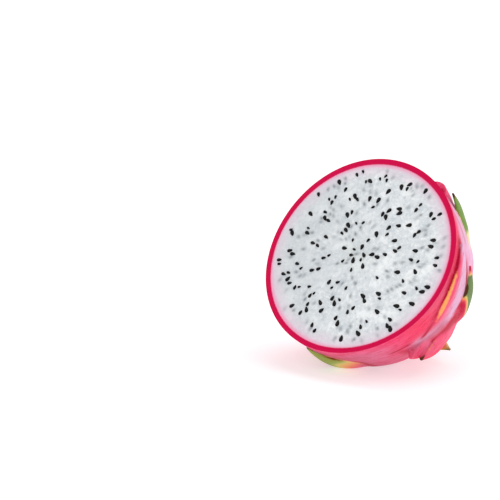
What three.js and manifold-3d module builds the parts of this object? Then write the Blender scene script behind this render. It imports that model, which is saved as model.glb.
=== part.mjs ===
// Half a dragon fruit, cut across its middle and lying on its side with the cut tipped up.
// It is the stem-end half: a thin skin with leafy scales, filled with pulp full of seeds.
// Millimetres and degrees. +Z is up, the cut looks towards -Y, and the origin is the middle
// of the flat spot that the fruit rests on.
//
// Every piece is made in the fruit's own frame: the cut in its XY plane, +Z out of the cut
// and the stem end at -Z. There a "turn" is the angle round the fruit from +X towards +Y, and
// "along" is the distance over the skin from the cut towards the stem end.
import * as THREE from "three";
import { mergeVertices } from "three/addons/utils/BufferGeometryUtils.js";
import Module from "manifold-3d";

const wasm = await Module();
wasm.setup();

// The fruit's body
const CUT_RADIUS = 45;
const HALF_LENGTH = 58;
const END_ROUNDNESS = 2.3; // 2 is an ellipse; more keeps the sides straighter for longer
const SIDE_FULLNESS = 2.1;
const SKIN_THICKNESS = 2.6;
const PULP_GAP = 0.3; // kept clear between the skin and the pulp
const INSIDE_SHIFT = [0.2, -0.25, 0]; // the skin is thicker on one side than on the other
const BODY_SIDES = 48;
const BODY_RINGS = 12;

// A shallow dent in the skin beside a scale
const DENT_ALONG = 20;
const DENT_TURN = 32;
const DENT_REACH = 11; // along the skin
const DENT_SWEEP = 16; // degrees round the fruit
const DENT_DEPTH = 1.6;
const DENT_FADE = 10; // how far from the cut it is whole, so that the cut's edge stays round

// How it lies
const CUT_TILT = 32.3; // how far the cut looks up from the horizontal
const CUT_HEIGHT = 49.9; // middle of the cut above the table
const CUT_FORWARD = 12.9; // middle of the cut in front of the flat spot's middle

// Scales, in order from the cut to the stem end
const SCALE_COUNT = 18;
const GOLDEN_TURN = 137.5;
const FIRST_TURN = -80;
const FIRST_ALONG = 25;
const LAST_ALONG = 70;
const FIRST_LENGTH = 28;
const LAST_LENGTH = 10;
const FIRST_WIDTH = 23;
const LAST_WIDTH = 11;
const ROOT_SHARE = 0.45; // length of the root that fades back into the skin, per blade length
const ROOT_WIDTH = 0.38; // width of the root's far end, per blade width
const ROOT_DEPTH = 1.2; // how much deeper the root's far end lies than the blade's base
const BASE_DEPTH = 0.8; // the blade's middle under the skin where the blade leaves it
const ROOT_THICKNESS = 1.6;
const BASE_THICKNESS = 3.4;
const TIP_THICKNESS = 0.9;
const EDGE_THINNING = 0.55; // how much thinner a blade is at its edges than in its middle
const TIP_HALF_WIDTH = 0.45;
const BLADE_ACROSS = 4;
const BLADE_ALONG = 9;
const SPINE_SLICES = 12;

// Stub of the stem, in a dimple
const STUB_RADIUS = 5;
const STUB_LENGTH = 5;
const DIMPLE_RADIUS = 11;
const DIMPLE_DEPTH = 3;

// Seeds in the cut
const SEED_LENGTH = 2.6;
const SEED_WIDTH = 2;
const SEED_RISE = 0.55;
const SEED_ROOT = 0.8;
const SEED_SINK = 0.06;
const SEED_CLEARANCE = 2;
const SEED_SWAY = 70; // most that a seed turns from pointing to the heart
const HEART_RINGS = [
  { radius: 3.0, count: 6 },
  { radius: 7.2, count: 7 },
];
const GROUP_COUNT = 62;
const GROUP_SPREAD = 3.6;
const SEEDS_FROM = 12;
const SEEDS_TO = 40.1;
const DRAW_START = 20;

// Colours
const SKIN_COLOUR = 0xe0336b;
const PULP_COLOUR = 0xe9ecf0;

const { degToRad, radToDeg, lerp, clamp, smoothstep } = THREE.MathUtils;

// A repeatable draw of numbers from 0 to 1.
function drawFrom(start) {
  let state = start;
  return () => {
    state = (state * 16807) % 2147483647;
    return state / 2147483647;
  };
}

// ---- The body's form -------------------------------------------------------------------

// The fruit's side from the cut to the stem end: radius and depth at each distance along.
function sideProfile(radius, length) {
  const steps = 240;
  const points = [];
  let along = 0;
  for (let i = 0; i <= steps; i++) {
    const angle = ((i / steps) * Math.PI) / 2;
    const depth = length * Math.sin(angle) ** (2 / END_ROUNDNESS);
    const r = radius * Math.max(Math.cos(angle), 0) ** (2 / SIDE_FULLNESS);
    const last = points[i - 1];
    if (last) along += Math.hypot(r - last.r, depth - last.depth);
    points.push({ along, r, depth });
  }
  return points;
}

const SIDE = sideProfile(CUT_RADIUS, HALF_LENGTH);
const SIDE_LENGTH = SIDE[SIDE.length - 1].along;

// Radius, depth and slope of the side at a distance along it. Before the cut it runs straight.
function sideAt(along) {
  if (along <= 0) return { r: CUT_RADIUS, depth: along, dr: 0, ddepth: 1 };
  const at = Math.min(along, SIDE_LENGTH - 0.01);
  const i = SIDE.findIndex((point) => point.along > at);
  const a = SIDE[i - 1];
  const b = SIDE[i];
  const run = b.along - a.along;
  const share = (at - a.along) / run;
  return {
    r: lerp(a.r, b.r, share),
    depth: lerp(a.depth, b.depth, share),
    dr: (b.r - a.r) / run,
    ddepth: (b.depth - a.depth) / run,
  };
}

// The fruit isn't quite round: how much wider or narrower it is at a turn.
function unevenness(turn) {
  const t = degToRad(turn);
  return 1 + 0.008 * Math.cos(2 * t - 1.9) + 0.006 * Math.cos(3 * t + 0.6);
}

// How deep the dent in the skin is at a place.
function dentDepth(along, turn) {
  const gap = ((turn - DENT_TURN + 540) % 360) - 180;
  const far = ((along - DENT_ALONG) / DENT_REACH) ** 2 + (gap / DENT_SWEEP) ** 2;
  return DENT_DEPTH * Math.exp(-far) * smoothstep(along, 0, DENT_FADE);
}

// The direction straight out of the skin.
function outOfSkin(along, turn) {
  const { dr, ddepth } = sideAt(along);
  const t = degToRad(turn);
  return new THREE.Vector3(ddepth * Math.cos(t), ddepth * Math.sin(t), dr);
}

// The point at a height over the skin.
function overSkin(along, turn, height) {
  const side = sideAt(along);
  const t = degToRad(turn);
  const r = side.r * unevenness(turn);
  const point = new THREE.Vector3(r * Math.cos(t), r * Math.sin(t), -side.depth);
  return point.addScaledVector(outOfSkin(along, turn), height);
}

// ---- Meshes and solids -----------------------------------------------------------------

function solidOf(geometry) {
  const bare = geometry.clone();
  bare.deleteAttribute("normal");
  bare.deleteAttribute("uv");
  const merged = mergeVertices(bare, 1e-4);
  const triVerts = new Uint32Array(merged.index.array);
  const vertProperties = merged.attributes.position.array;
  return new wasm.Manifold(new wasm.Mesh({ numProp: 3, vertProperties, triVerts }));
}

function geometryOf(solid) {
  const mesh = solid.getMesh();
  const geometry = new THREE.BufferGeometry();
  geometry.setAttribute("position", new THREE.BufferAttribute(mesh.vertProperties, 3));
  geometry.setIndex(new THREE.BufferAttribute(mesh.triVerts, 1));
  geometry.computeVertexNormals();
  return geometry;
}

// Moves each vertex of a geometry to the place that a function gives for it.
function reshape(geometry, place) {
  const position = geometry.attributes.position;
  const vertex = new THREE.Vector3();
  for (let i = 0; i < position.count; i++) {
    vertex.fromBufferAttribute(position, i);
    const { x, y, z } = place(vertex);
    position.setXYZ(i, x, y, z);
  }
  return geometry;
}

// A solid of the fruit's form some way inside its skin, with a flat front at a given height.
// Only the outside has the dent.
function bodySolid(inset, front) {
  const side = sideProfile(CUT_RADIUS - inset, HALF_LENGTH - inset);
  const total = side[side.length - 1].along;
  const outline = [new THREE.Vector2(0, front), new THREE.Vector2(CUT_RADIUS - inset, front)];
  for (let i = front > 0 ? 0 : 1; i < BODY_RINGS; i++) {
    const { r, depth } = side.find((point) => point.along >= (total * i) / BODY_RINGS);
    outline.push(new THREE.Vector2(r, -depth));
  }
  outline.push(new THREE.Vector2(0, inset - HALF_LENGTH));
  // A LatheGeometry turns about Y, with its faces out for an outline that runs upwards.
  const lathe = new THREE.LatheGeometry(outline.reverse(), BODY_SIDES).rotateX(Math.PI / 2);
  const uneven = reshape(lathe, ({ x, y, z }) => {
    const turn = radToDeg(Math.atan2(y, x));
    const k = unevenness(turn);
    const { along } = side.find((point) => point.depth > -z - 0.001);
    const dent = inset > 0 ? 0 : dentDepth(along, turn);
    const point = new THREE.Vector3(x * k, y * k, z);
    return point.addScaledVector(outOfSkin(along, turn), -dent);
  });
  return solidOf(uneven);
}

// ---- Scales ----------------------------------------------------------------------------

// A rule gives every scale its place, size and bearing, and those here differ from it where
// they are pressed on, stand off or are bent. "heading" is the way a scale points, from
// straight to the cut towards more turn, and "bend" turns its tip further within the blade.
// "lift" is its slant off the skin, "curl" how much steeper its tip stands, and "roll" lifts
// one edge higher than the other. "dome" is how far the edges lie under the middle, and a
// scale with a "fill" of 1 is a fold of the skin, with no gap under it.
const OWN_BEARING = {
  0: {
    along: 27, turn: -76, heading: -46, bend: -8, lift: 14, curl: -28, roll: -16,
    length: 33, width: 20,
  },
  1: {
    along: 18, turn: 49.5, heading: 0, bend: 0, lift: 8, curl: 0, roll: 0,
    length: 32, width: 17, dome: 2, fill: 1,
  },
  2: { lift: 6, curl: 8, length: 24 },
  3: {
    along: 23, turn: -27, heading: 54.5, bend: 12, lift: 4, curl: -2,
    length: 39, width: 28.5, fill: 1,
  },
  5: { heading: -5, lift: 3, curl: 0, length: 20 },
  6: {
    along: 31, turn: 24, heading: 54, bend: -53, lift: 2, curl: 15, roll: 20,
    length: 35, width: 16,
  },
  8: {
    along: 36, turn: -7, heading: -81, bend: 35, lift: 7.5, curl: 11, roll: -14,
    length: 35.5, width: 26, fill: 1,
  },
  9: { heading: 8, lift: 6, curl: 8, length: 25 },
  11: {
    along: 40, turn: -29, heading: 44, bend: 9, lift: 11, curl: -16, roll: 25,
    length: 39, width: 12,
  },
  13: {
    along: 31, turn: -18, heading: -76, bend: 30, lift: 3, curl: 17, roll: -9,
    length: 30, width: 31, fill: 1,
  },
  16: {
    along: 57, turn: -48.5, heading: 32, bend: 0, lift: 30, curl: 6,
    length: 17, width: 13,
  },
};
const FILL_TO = 0.93; // share of a filled scale's length from which its tip is free

function scaleTraits(n) {
  const draw = drawFrom(DRAW_START + 31 * n + 1);
  draw();
  const share = n / (SCALE_COUNT - 1);
  return {
    along: lerp(FIRST_ALONG, LAST_ALONG, share ** 1.2),
    turn: FIRST_TURN + GOLDEN_TURN * n,
    length: lerp(FIRST_LENGTH, LAST_LENGTH, share) * lerp(0.92, 1.08, draw()),
    width: lerp(FIRST_WIDTH, LAST_WIDTH, share) * lerp(0.94, 1.06, draw()),
    heading: lerp(-20, 20, draw()),
    bend: lerp(-12, 12, draw()),
    lift: lerp(8, 16, draw()),
    curl: lerp(16, 40, draw()),
    roll: lerp(-6, 6, draw()),
    dome: 0,
    fill: 0,
    ...OWN_BEARING[n],
  };
}

// Half the blade's width at a share of its length. The share is negative in the root.
function bladeHalfWidth(width, share) {
  if (share < 0) return (width / 2) * lerp(1, ROOT_WIDTH, (-share / ROOT_SHARE) ** 1.6);
  const taper = (1 - share) ** 0.85 * (1 + 0.55 * share * (1 - share));
  return Math.max((width / 2) * taper, TIP_HALF_WIDTH);
}

function bladeThickness(share) {
  const grown = Math.min(1 + share / ROOT_SHARE, 1);
  const blade = lerp(BASE_THICKNESS, TIP_THICKNESS, Math.max(share, 0) ** 0.6);
  return lerp(ROOT_THICKNESS, blade, grown);
}

// A point of a scale's middle line: how far ahead and aside over the skin, and how high.
function spineAt({ length, bend, lift, curl }, share) {
  const at = { ahead: 0, aside: 0, height: -BASE_DEPTH, way: 0, lean: 0 };
  if (share <= 0) {
    at.ahead = share * length;
    at.height -= ROOT_DEPTH * (-share / ROOT_SHARE) ** 1.3;
    return at;
  }
  for (let i = 0; i < SPINE_SLICES; i++) {
    const here = ((i + 0.5) / SPINE_SLICES) * share;
    const step = (length * share) / SPINE_SLICES;
    at.lean = degToRad(lift * Math.min(here * 5, 1) + curl * here ** 1.5);
    at.way = degToRad(bend * here);
    at.ahead += step * Math.cos(at.way) * Math.cos(at.lean);
    at.height += step * Math.cos(at.way) * Math.sin(at.lean);
    at.aside += step * Math.sin(at.way);
  }
  return at;
}

// A leafy scale: it leaves the skin at a slant, narrows to its tip and curls outwards.
function scaleSolid(traits) {
  const sin = Math.sin(degToRad(traits.heading));
  const cos = Math.cos(degToRad(traits.heading));
  // The box is two half-widths across, one length along and one thickness deep.
  const box = new THREE.BoxGeometry(2, 1, 1, BLADE_ACROSS, BLADE_ALONG, 1);
  const blade = reshape(box, ({ x, y, z }) => {
    const share = lerp(-ROOT_SHARE, 1, y + 0.5);
    const at = spineAt(traits, share);
    const across = x * bladeHalfWidth(traits.width, share);
    const sunk = traits.dome * x * x;
    const off = z * bladeThickness(share) * (1 - EDGE_THINNING * x * x) - sunk;
    const rolled = degToRad(traits.roll) * clamp(share * 3, 0, 1);
    const side = across * Math.cos(rolled) - off * Math.sin(rolled);
    const face = across * Math.sin(rolled) + off * Math.cos(rolled);
    const back = side * Math.sin(at.way);
    const ahead = at.ahead - back * Math.cos(at.lean) - face * Math.sin(at.lean);
    const free = at.height - back * Math.sin(at.lean) + face * Math.cos(at.lean);
    const filled = z < 0 ? traits.fill * (1 - smoothstep(share, FILL_TO, 1)) : 0;
    const height = lerp(free, Math.min(free, -BASE_DEPTH), filled);
    const aside = at.aside + side * Math.cos(at.way);
    const along = traits.along - ahead * cos + aside * sin;
    const round = (ahead * sin + aside * cos) / Math.max(sideAt(along).r, 8);
    return overSkin(along, traits.turn + radToDeg(round), height);
  });
  return solidOf(blade);
}

// ---- Stem stub -------------------------------------------------------------------------

function stubSolid() {
  const depth = STUB_LENGTH + DIMPLE_DEPTH;
  const stub = new THREE.CylinderGeometry(STUB_RADIUS * 0.86, STUB_RADIUS, depth, 10);
  stub.rotateX(-Math.PI / 2);
  stub.translate(0, 0, DIMPLE_DEPTH - HALF_LENGTH - depth / 2 + 1);
  return solidOf(stub);
}

function dimpleSolid() {
  const ballRadius = (DIMPLE_RADIUS ** 2 + DIMPLE_DEPTH ** 2) / (2 * DIMPLE_DEPTH);
  const ball = new THREE.SphereGeometry(ballRadius, 28, 40).rotateX(Math.PI / 2);
  return solidOf(ball.translate(0, 0, DIMPLE_DEPTH - HALF_LENGTH - ballRadius));
}

// ---- Seeds -----------------------------------------------------------------------------

// Where the seeds lie in the cut: rings round the heart, then small groups out to the skin.
function seedPlaces() {
  const draw = drawFrom(DRAW_START);
  const spread = () => draw() + draw() - 1;
  const places = [];
  const addSeed = (x, y) => {
    const tooFar = Math.hypot(x, y) > SEEDS_TO;
    const tooNear = places.some((seed) => Math.hypot(seed.x - x, seed.y - y) < SEED_CLEARANCE);
    if (tooFar || tooNear) return;
    const angle = Math.atan2(y, x) + degToRad(SEED_SWAY) * spread();
    places.push({ x, y, angle, size: lerp(0.65, 1.2, draw()) });
  };
  for (const ring of HEART_RINGS) {
    for (let i = 0; i < ring.count; i++) {
      const angle = ((i + 0.5 * draw()) / ring.count) * 2 * Math.PI;
      const radius = ring.radius + 1.2 * (draw() - 0.5);
      addSeed(radius * Math.cos(angle), radius * Math.sin(angle));
    }
  }
  for (let k = 0; k < GROUP_COUNT; k++) {
    const share = (k + 0.5) / GROUP_COUNT;
    const radius = Math.sqrt(lerp(SEEDS_FROM ** 2, SEEDS_TO ** 2, share));
    const angle = degToRad(GOLDEN_TURN * k);
    const members = 2 + Math.floor(3.2 * draw());
    for (let m = 0; m < members; m++) {
      const out = radius + GROUP_SPREAD * spread();
      const aside = GROUP_SPREAD * spread();
      const x = out * Math.cos(angle) - aside * Math.sin(angle);
      const y = out * Math.sin(angle) + aside * Math.cos(angle);
      addSeed(x, y);
    }
  }
  return places;
}

// A seed's dome in the cut, narrower at the end that points to the heart.
function seedSolid({ x, y, angle, size }) {
  const ball = new THREE.SphereGeometry(1, 6, 4).rotateX(Math.PI / 2);
  const seed = reshape(ball, (point) => ({
    x: (point.x * size * SEED_LENGTH) / 2,
    y: (point.y * size * SEED_WIDTH * (0.76 + 0.3 * point.x)) / 2,
    z: point.z * (point.z > 0 ? SEED_RISE : SEED_ROOT),
  }));
  return solidOf(seed.rotateZ(angle).translate(x, y, -SEED_SINK));
}

// ---- The two pieces --------------------------------------------------------------------

const fruit = new THREE.Group();
fruit.name = "dragon_fruit_half";
fruit.rotation.x = Math.PI / 2 - degToRad(CUT_TILT);
fruit.position.set(0, -CUT_FORWARD, CUT_HEIGHT);
fruit.updateMatrixWorld(true);

// Blocks larger than the fruit: all that is in front of the cut, and all under the table.
const BLOCK = 260;
const beforeCut = solidOf(new THREE.BoxGeometry(BLOCK, BLOCK, BLOCK).translate(0, 0, BLOCK / 2));
const underTable = solidOf(
  new THREE.BoxGeometry(BLOCK, BLOCK, BLOCK)
    .translate(0, 0, -BLOCK / 2)
    .applyMatrix4(fruit.matrixWorld.clone().invert()),
);

function skinSolid() {
  const pastCut = 6;
  let solid = bodySolid(0, pastCut).subtract(dimpleSolid()).add(stubSolid());
  for (let n = 0; n < SCALE_COUNT; n++) {
    solid = solid.add(scaleSolid(scaleTraits(n)));
  }
  const hollow = bodySolid(SKIN_THICKNESS, 2 * pastCut).translate(INSIDE_SHIFT);
  return solid.subtract(hollow).subtract(beforeCut).subtract(underTable);
}

function pulpSolid() {
  let solid = bodySolid(SKIN_THICKNESS + PULP_GAP, 0).translate(INSIDE_SHIFT);
  for (const place of seedPlaces()) {
    solid = solid.add(seedSolid(place));
  }
  return solid;
}

function piece(name, solid, color, roughness) {
  const material = new THREE.MeshStandardMaterial({ color, roughness, metalness: 0 });
  const mesh = new THREE.Mesh(geometryOf(solid), material);
  mesh.name = name;
  return mesh;
}

fruit.add(piece("skin", skinSolid(), SKIN_COLOUR, 0.45));
fruit.add(piece("pulp", pulpSolid(), PULP_COLOUR, 0.3));

const part = new THREE.Group();
part.add(fruit);
export default part;
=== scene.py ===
"""Dresses the cut half of a dragon fruit: its skin with leafy scales, the stub of its stem,
the pulp in the cut and the seeds in the pulp, on a plain pale floor in soft light.

The fruit's own frame has the cut in its XY plane, +Z out of the cut and the stem end at -Z.
There a "turn" is the angle round the fruit from +X towards +Y, "along" is the distance over
the skin from the cut towards the stem end, and "height" is measured off the skin.
Sizes in the code are in millimetres and angles in degrees unless their name says otherwise.
"""

import math
from contextlib import contextmanager

import bpy
import numpy as np
from bpy.props import FloatProperty, FloatVectorProperty, IntProperty, PointerProperty
from bpy.types import Operator, Panel, PropertyGroup
from mathutils import Matrix, Vector
from mathutils.kdtree import KDTree


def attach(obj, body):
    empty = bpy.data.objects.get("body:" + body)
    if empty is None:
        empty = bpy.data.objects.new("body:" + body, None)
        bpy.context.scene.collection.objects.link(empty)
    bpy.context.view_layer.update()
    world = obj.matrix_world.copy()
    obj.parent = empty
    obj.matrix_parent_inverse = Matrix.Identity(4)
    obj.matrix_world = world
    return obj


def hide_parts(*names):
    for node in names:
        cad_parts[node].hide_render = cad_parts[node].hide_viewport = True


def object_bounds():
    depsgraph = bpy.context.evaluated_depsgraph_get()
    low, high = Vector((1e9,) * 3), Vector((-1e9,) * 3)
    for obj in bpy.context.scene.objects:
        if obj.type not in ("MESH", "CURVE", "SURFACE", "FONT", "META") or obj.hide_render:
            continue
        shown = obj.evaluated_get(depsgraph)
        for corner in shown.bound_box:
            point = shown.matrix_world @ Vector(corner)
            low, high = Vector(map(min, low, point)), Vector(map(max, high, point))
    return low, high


bl_info = {
    "name": "Halved dragon fruit",
    "version": (1, 0, 0),
    "blender": (4, 5, 0),
    "location": "View3D > Sidebar > Fruit",
    "description": "Makes the cut half of a dragon fruit: skin and scales, stem stub, pulp, seeds",
    "category": "Object",
}

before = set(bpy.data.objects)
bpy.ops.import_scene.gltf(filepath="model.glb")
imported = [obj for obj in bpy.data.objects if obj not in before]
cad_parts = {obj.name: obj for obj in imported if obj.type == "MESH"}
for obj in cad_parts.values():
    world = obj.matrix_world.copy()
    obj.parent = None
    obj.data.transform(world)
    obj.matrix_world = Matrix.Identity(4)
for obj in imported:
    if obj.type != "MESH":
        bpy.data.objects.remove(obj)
CAD_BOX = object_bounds()
BODY = "root"
MM = 0.001

# The fruit's form, the same as in the part's solids
INSIDE_SHIFT = (0.2, -0.25, 0)  # the skin is thicker on one side than on the other
END_ROUNDNESS = 2.3
SIDE_FULLNESS = 2.1
DENT_ALONG, DENT_TURN = 20, 32  # middle of a shallow dent in the skin
DENT_REACH, DENT_SWEEP = 11, 16  # its size along, and round the fruit
DENT_DEPTH = 1.6
CUT_TILT = 32.3
CUT_HEIGHT = 49.9
CUT_FORWARD = 12.9

# Scales, in order from the cut to the stem end
GOLDEN_TURN = 137.5
FIRST_TURN = -80
FIRST_ALONG, LAST_ALONG = 25, 70
FIRST_LENGTH, LAST_LENGTH = 28, 10
FIRST_WIDTH, LAST_WIDTH = 23, 11
ROOT_SHARE = 0.45
ROOT_WIDTH = 0.38
ROOT_DEPTH = 1.2
BASE_DEPTH = 0.8
ROOT_THICKNESS = 1.6
BASE_THICKNESS = 3.4
TIP_THICKNESS = 0.9
EDGE_THINNING = 0.55
TIP_HALF_WIDTH = 0.45
SPINE_SLICES = 12
RIDGE_HEIGHT = 0.10
WAVE_HEIGHT = 0.45

# Scales that are pressed on, stand off or are bent in a way of their own
OWN_BEARING = {
    0: dict(along=27, turn=-76, heading=-46, bend=-8, lift=14, curl=-28, roll=-16, length=33,
            width=20),
    1: dict(along=18, turn=49.5, heading=0, bend=0, lift=8, curl=0, roll=0, length=32, width=17,
            dome=2, fill=1),
    2: dict(lift=6, curl=8, length=24),
    3: dict(along=23, turn=-27, heading=54.5, bend=12, lift=4, curl=-2, length=39, width=28.5,
            fill=1),
    5: dict(heading=-5, lift=3, curl=0, length=20),
    6: dict(along=31, turn=24, heading=54, bend=-53, lift=2, curl=15, roll=20, length=35, width=16),
    8: dict(along=36, turn=-7, heading=-81, bend=35, lift=7.5, curl=11, roll=-14, length=35.5,
            width=26, fill=1),
    9: dict(heading=8, lift=6, curl=8, length=25),
    11: dict(along=40, turn=-29, heading=44, bend=9, lift=11, curl=-16, roll=25, length=39,
             width=12),
    13: dict(along=31, turn=-18, heading=-76, bend=30, lift=3, curl=17, roll=-9, length=30,
             width=31, fill=1),
    16: dict(along=57, turn=-48.5, heading=32, bend=0, lift=30, curl=6, length=17, width=13),
}

# How a scale ripens. A share is of its length, and its edges are at -1 and 1 across.
#   green      the share where it turns green, well over 1 where it never does
#   turning    the share over which it turns green
#   slant      how much sooner one edge is green than the other
#   grey       how dull the green is, or below 0 how pale
#   blush      how much of the green turns back to orange near the point
#   margin     how orange its edges are, and "edge" how wide that is
#   strip      how far inside one edge, at the base, the orange lies as a strip instead
#   tip        how brown and dry its point is
#   bloom  how lilac its pink is, from a waxy bloom and painted sheen, and "flush" how red
#   deep       how deep crimson its outer face is beyond the base, partly its own red and partly painted shade
#   rust       the edge that is rusty brown, and "rust_down" how much of that its inner face has
#   overgrown  how far in from one edge, at the base, the skin has grown over it
#   scar       the share where an edge has a dark scar
#   shade      how strong the painted shade is on the skin under and beside it and on its inner face
OWN_RIPENESS = {
    0: dict(green=0.46, turning=0.4, grey=-0.5, margin=0.7, edge=1.6, tip=0.7, rust=1,
            overgrown=0.75),
    1: dict(green=1.6, grey=0, margin=0.1, tip=0, flush=0.1, bloom=0.3, shade=0),
    3: dict(green=1.7, grey=0, margin=1, edge=1.3, strip=4.5, tip=0, bloom=1, flush=0.8,
            shade=1.6),
    6: dict(green=0.26, grey=0.1, margin=0.3, tip=1, rust=-1, rust_down=0.3, bloom=0.9),
    8: dict(green=1.5, grey=0, margin=0.45, tip=0.75, flush=0.8),
    11: dict(green=0.55, turning=0.08, slant=0.24, grey=0.8, margin=0.4, tip=0, flush=1, blush=1,
             scar=0.72, deep=0.7),
    13: dict(green=1.7, grey=0, margin=0.1, tip=0.3, flush=0.9, bloom=0.3, shade=0.5),
    16: dict(green=0.86, turning=0.5, grey=0.6, margin=0.2, tip=0, bloom=0.3),
}

# Bands over the skin, each from one place of along and turn to another, how wide and how strong:
# lilac bands of waxy bloom and painted sheen, and bands of painted shade in grooves beside scales
LILAC_BANDS = [((19, -12), (15, -54), 3.5, 1), ((3, 44), (8, 30), 2.5, 0.8)]
SHADE_BANDS = [
    ((3.8, 15), (2, -4), 0.9, 1), ((2.1, 0), (3.2, -15), 0.9, 1), ((2.6, -11), (9, -28), 0.9, 1),
    ((8, -24), (15.5, -43), 0.9, 1), ((1.2, 36), (15, 17), 1.2, 0.5),
    ((12, -44), (13, -62), 0.7, 1), ((9, -84), (30, -72), 2.2, 1),
]

# Stub of the stem, in a dimple
STUB_RADIUS = 5
STUB_LENGTH = 5
DIMPLE_RADIUS = 11
DIMPLE_DEPTH = 3

# Seeds in the cut
SEED_RISE = 0.55
SEED_ROOT = 0.8
SEED_SINK, SEED_SINK_VARIES = 0.06, 0.14
SEED_CLEARANCE = 2
SEED_SWAY = 70
HEART_RINGS = [(3.0, 6), (7.2, 7)]
GROUP_COUNT = 62
GROUP_SPREAD = 3.6
SEEDS_FROM, SEEDS_TO = 12, 40.1
SMALLEST_SEED, LARGEST_SEED = 0.65, 1.2  # against the seed's full size
DRAW_START = 20

PULP_CLEARANCE = 0.02  # kept between the pulp and the skin

# Seeds that show dimly from under the cut
GHOST_TRIES = 150
GHOSTS_TO = 40.5
GHOST_CLEARANCE = 1.7  # from the seeds in the cut


def tone(red, green, blue):
    """A colour as a shader wants it, from its usual red, green and blue of 0 to 255."""
    shares = [v / 255 for v in (red, green, blue)]
    return tuple(v / 12.92 if v <= 0.04045 else ((v + 0.055) / 1.055) ** 2.4 for v in shares)


def draw_from(start):
    """A repeatable draw of numbers from 0 to 1."""
    state = start

    def draw():
        nonlocal state
        state = (state * 16807) % 2147483647
        return state / 2147483647

    return draw


def lerp(a, b, share):
    """The value a share of the way from a to b."""
    return a + (b - a) * share


def smooth(low, high, values):
    """0 below low, 1 above high, and a smooth rise between them."""
    t = np.clip((np.asarray(values, float) - low) / (high - low), 0, 1)
    return t * t * (3 - 2 * t)


# ---- What a user may change ---------------------------------------------------------------


def length_property(name, description, millimetres):
    """A length that a user may change."""
    return FloatProperty(
        name=name, description=description, default=millimetres * MM, min=0, unit="LENGTH"
    )


def colour_property(name, description, red, green, blue):
    """A colour that a user may change."""
    return FloatVectorProperty(
        name=name, description=description, default=tone(red, green, blue), subtype="COLOR",
        size=3, min=0, max=1,
    )


class FruitSizes(PropertyGroup):
    """Sizes of the halved fruit"""

    cut_radius: length_property("Cut radius", "Radius of the fruit where it is cut", 45)
    half_length: length_property("Half length", "From the cut to the stem end", 58)
    skin_thickness: length_property("Skin thickness", "Thickness of the rind in the cut", 2.6)
    seed_length: length_property("Seed length", "Length of one seed", 2.6)
    seed_width: length_property("Seed width", "Width of one seed", 2)
    scale_count: IntProperty(
        name="Scales", description="How many leafy scales the skin has", default=18, min=0, max=18
    )


class FruitColours(PropertyGroup):
    """Colours of the halved fruit"""

    skin_deep: colour_property("Deep skin", "The skin's darker pink", 218, 14, 80)
    skin_pale: colour_property("Pale skin", "The skin's lighter pink", 246, 98, 146)
    flush: colour_property("Flush", "The skin where it is redder", 242, 16, 74)
    # Lilac of the waxy bloom, which also gives the painted sheen on the skin and the scales
    bloom: colour_property("Bloom", "The skin where it has a bloom", 216, 180, 210)
    # The deep red of the painted shade in the creases under and beside the scales, also used for
    # thin lines
    crease: colour_property("Creases", "Skin in the creases under the scales", 184, 0, 50)
    leaf: colour_property("Leaf", "The scales where they are green", 92, 124, 30)
    leaf_grey: colour_property("Dull leaf", "The scales where their green is dull", 104, 122, 92)
    leaf_pale: colour_property("Pale leaf", "The scales where their green is pale", 180, 184, 98)
    margin: colour_property("Scale edge", "The edges of the scales", 250, 166, 96)
    rust: colour_property("Rusty edge", "Edges that the sun has browned", 122, 36, 12)
    dry: colour_property("Dry tip", "The dried points of the scales", 88, 52, 30)
    rind: colour_property("Cut rind", "The rind in the cut", 206, 0, 66)
    rind_line: colour_property("Rind line", "The line between rind and pulp", 250, 150, 190)
    pulp: colour_property("Pulp", "The pulp in the cut", 234, 237, 238)
    pulp_rim: colour_property("Pulp rim", "The pulp beside the rind", 226, 206, 220)
    seed: colour_property("Seed", "The seeds", 9, 8, 10)
    stem: colour_property("Stem", "The stub of the stem", 128, 120, 72)
    floor: colour_property("Floor", "The floor", 206, 206, 207)


# ---- The fruit's form ---------------------------------------------------------------------


def fruit_to_world():
    """Places the fruit's own frame, in millimetres."""
    lean = Matrix.Rotation(math.radians(90 - CUT_TILT), 4, "X")
    return Matrix.Translation((0, -CUT_FORWARD, CUT_HEIGHT)) @ lean


def in_world(points):
    """Points of the fruit's own frame as points of the scene, in metres."""
    m = np.array(fruit_to_world())
    return (points @ m[:3, :3].T + m[:3, 3]) * MM


def in_fruit(points):
    """Points of the scene, in metres, as points of the fruit's own frame."""
    m = np.array(fruit_to_world().inverted())
    return (points / MM) @ m[:3, :3].T + m[:3, 3]


def unevenness(turn):
    """How much wider or narrower the fruit is at a turn, in radians."""
    return 1 + 0.008 * np.cos(2 * turn - 1.9) + 0.006 * np.cos(3 * turn + 0.6)


def around(turn, middle, width):
    """1 at a turn round the fruit, in degrees, and less the further from it."""
    gap = (np.degrees(turn) - middle + 180) % 360 - 180
    return np.exp(-((gap / width) ** 2))


def dent(along, turn):
    """How deep the dent in the skin is at a place."""
    near = np.exp(-(((along - DENT_ALONG) / DENT_REACH) ** 2))
    return DENT_DEPTH * near * around(turn, DENT_TURN, DENT_SWEEP) * smooth(0, 10, along)


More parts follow.
